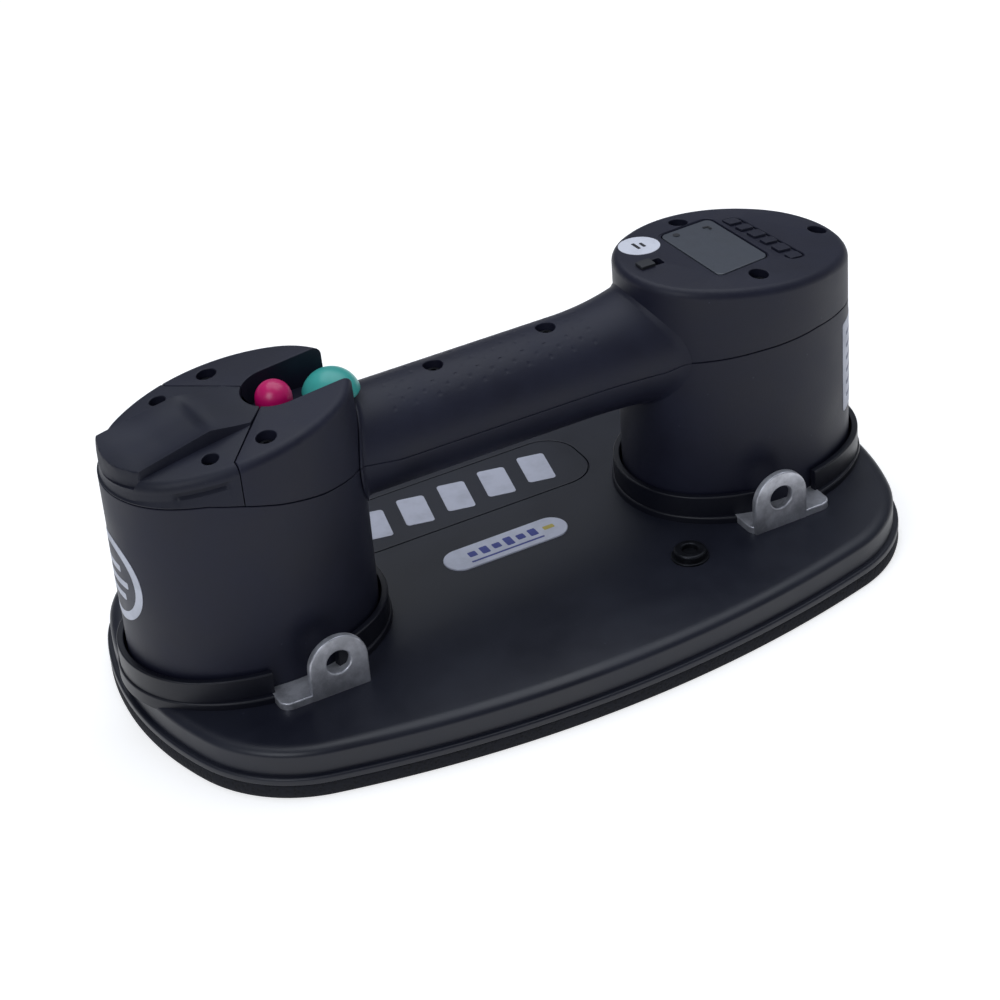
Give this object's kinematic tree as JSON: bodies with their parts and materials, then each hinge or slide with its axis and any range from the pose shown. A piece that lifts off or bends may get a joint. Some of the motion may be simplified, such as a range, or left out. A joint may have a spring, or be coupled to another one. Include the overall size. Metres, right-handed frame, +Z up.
{
  "type": "battery suction lifter",
  "caption": "Hand-held battery suction lifter: oblong suction plate with a foam seal, two oval towers and a round grip, lift-out battery, domed buttons, gauge window and lugs.",
  "frame": {"origin": "middle of the foam seal's underside, on the floor", "axes": "+X along the grip from the battery tower to the gauge tower, +Y across it away from the lugs, +Z up"},
  "size_m": [0.3, 0.171, 0.1151],
  "materials": {
    "plate": "dark satin paint",
    "foam": "closed-cell foam, dark",
    "inlay": "satin printed panel",
    "badge": "pale satin pill",
    "lug_steel": "brushed mid-grey steel",
    "screw_steel": "dark zinc",
    "plug_steel": "dark zinc",
    "filter": "pale sintered disc",
    "shell": "finely textured blue-black",
    "cell": "shrink sleeve",
    "contact": "plated brass",
    "red": "crimson, semi-gloss",
    "green": "teal green, semi-gloss",
    "spring_steel": "spring wire",
    "valve": "moulded grey",
    "switch": "black",
    "hose": "black tube",
    "window": "grey lens",
    "gauge": "grey module",
    "board": "green laminate",
    "motor": "plated can"
  },
  "bodies": {
    "base": {"base_plate": "plate", "foam_seal": "foam", "inlay_panel": "inlay", "badge_plate": "badge", "lug_left": "lug_steel", "lug_right": "lug_steel", "lug_screws": "screw_steel", "base_screws": "screw_steel", "plug_screw": "plug_steel", "plug_washer": "screw_steel", "chamber_filter": "filter", "lower_shell": "shell", "upper_shell": "shell", "shell_screws": "screw_steel", "bay_blades": "contact", "release_valve": "valve", "power_switch": "switch", "vent_hose": "hose", "display_window": "window", "gauge_module": "gauge", "control_board": "board", "pump_motor": "motor", "pump_head": "valve", "vacuum_hose": "hose"},
    "battery": {"battery_cap": "shell", "battery_case": "shell", "battery_cells": "cell", "battery_terminals": "contact", "cap_screws": "screw_steel"},
    "red_button": {"red_button": "red", "red_spring": "spring_steel"},
    "green_button": {"green_button": "green", "green_spring": "spring_steel"},
    "unit_switch": {"unit_switch": "switch"},
    "rotor": {"motor_shaft": "screw_steel"}
  },
  "joints": [
    {"name": "battery_lift", "type": "slide", "parent": "base", "child": "battery", "axis": [0, 0, 1], "range_m": [0, 0.096]},
    {"name": "red_press", "type": "slide", "parent": "base", "child": "red_button", "axis": [0, 0, -1], "range_m": [0, 0.002], "stiffness_N_per_m": 500, "springref_m": -0.0005, "deforming": ["red_spring"]},
    {"name": "green_press", "type": "slide", "parent": "base", "child": "green_button", "axis": [0, 0, -1], "range_m": [0, 0.002], "stiffness_N_per_m": 500, "springref_m": -0.0005, "deforming": ["green_spring"]},
    {"name": "unit_slide", "type": "slide", "parent": "base", "child": "unit_switch", "axis": [0.993, 0, -0.1184], "range_m": [0, 0.0036]},
    {"name": "rotor_spin", "type": "hinge", "parent": "base", "child": "rotor", "pos_m": [0.107, 0, 0.06], "axis": [0, 0, 1], "continuous": true}
  ]
}
